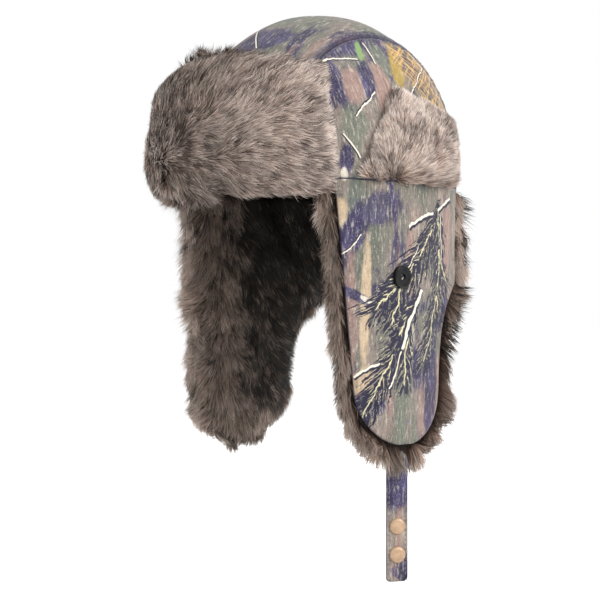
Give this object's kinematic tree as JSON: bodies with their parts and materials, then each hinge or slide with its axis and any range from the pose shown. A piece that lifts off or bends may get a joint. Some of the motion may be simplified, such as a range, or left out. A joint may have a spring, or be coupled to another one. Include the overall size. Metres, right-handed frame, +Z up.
{
  "type": "trapper hat",
  "caption": "Padded camouflage winter hat with a fur-faced turned-up visor, fur side cuffs, fur-lined ear and neck flaps and a snap chin strap.",
  "frame": {"origin": "centre of the head opening, in the plane of the crown's hem", "axes": "+X to the wearer's left, -Y to the front, +Z up through the crown"},
  "size_m": [0.2014, 0.2293, 0.3799],
  "materials": {
    "camo_fabric": "woven polyester with a woodland print",
    "faux_fur": "long pile, light roots and dark tips",
    "quilted_lining": "quilted satin",
    "black_tape": "ribbed tape",
    "label": "blank woven label",
    "thread": "sewing thread",
    "black_metal": "semi-gloss black",
    "tan_metal": "matte tan enamel"
  },
  "bodies": {
    "hat": {"crown_top_panel": "camo_fabric", "crown_side_panel_left": "camo_fabric", "crown_side_panel_right": "camo_fabric", "crown_lining": "quilted_lining", "sweatband": "black_tape", "size_label": "label", "hem_binding": "black_tape", "visor_shell": "camo_fabric", "visor_fur": "faux_fur", "visor_tacks": "thread", "cuff_backing_left": "black_tape", "cuff_backing_right": "black_tape", "cuff_fur_left": "faux_fur", "cuff_fur_right": "faux_fur"},
    "left_flap": {"ear_flap_shell_left": "camo_fabric", "ear_flap_fur_left": "faux_fur", "mask_snap_left": "black_metal", "mask_snap_rivet_left": "black_metal", "strap_tongue": "camo_fabric", "strap_bar_tack": "thread"},
    "right_flap": {"ear_flap_shell_right": "camo_fabric", "ear_flap_fur_right": "faux_fur", "mask_snap_right": "black_metal", "mask_snap_rivet_right": "black_metal", "strap_stud": "tan_metal", "strap_stud_rivet": "tan_metal"},
    "neck_flap": {"neck_flap_shell": "camo_fabric", "neck_flap_fur": "faux_fur"},
    "chin_strap": {"chin_strap": "camo_fabric", "strap_snap_caps": "tan_metal", "strap_snap_sockets": "tan_metal"}
  },
  "joints": [
    {"name": "left_flap_fold", "type": "hinge", "parent": "hat", "child": "left_flap", "pos_m": [0.1024, 0, 0], "axis": [0, -1, 0], "range_deg": [0, 155]},
    {"name": "right_flap_fold", "type": "hinge", "parent": "hat", "child": "right_flap", "pos_m": [-0.1024, 0, 0], "axis": [0, 1, 0], "range_deg": [0, 155]},
    {"name": "neck_flap_fold", "type": "hinge", "parent": "hat", "child": "neck_flap", "pos_m": [0, 0.1067, 0], "axis": [1, 0, 0], "range_deg": [0, 160]},
    {"name": "chin_strap_swing", "type": "hinge", "parent": "left_flap", "child": "chin_strap", "pos_m": [0.08412, -0.008, -0.1769], "axis": [-0.4226, -0.9063, 0], "range_deg": [-85, 90]}
  ]
}
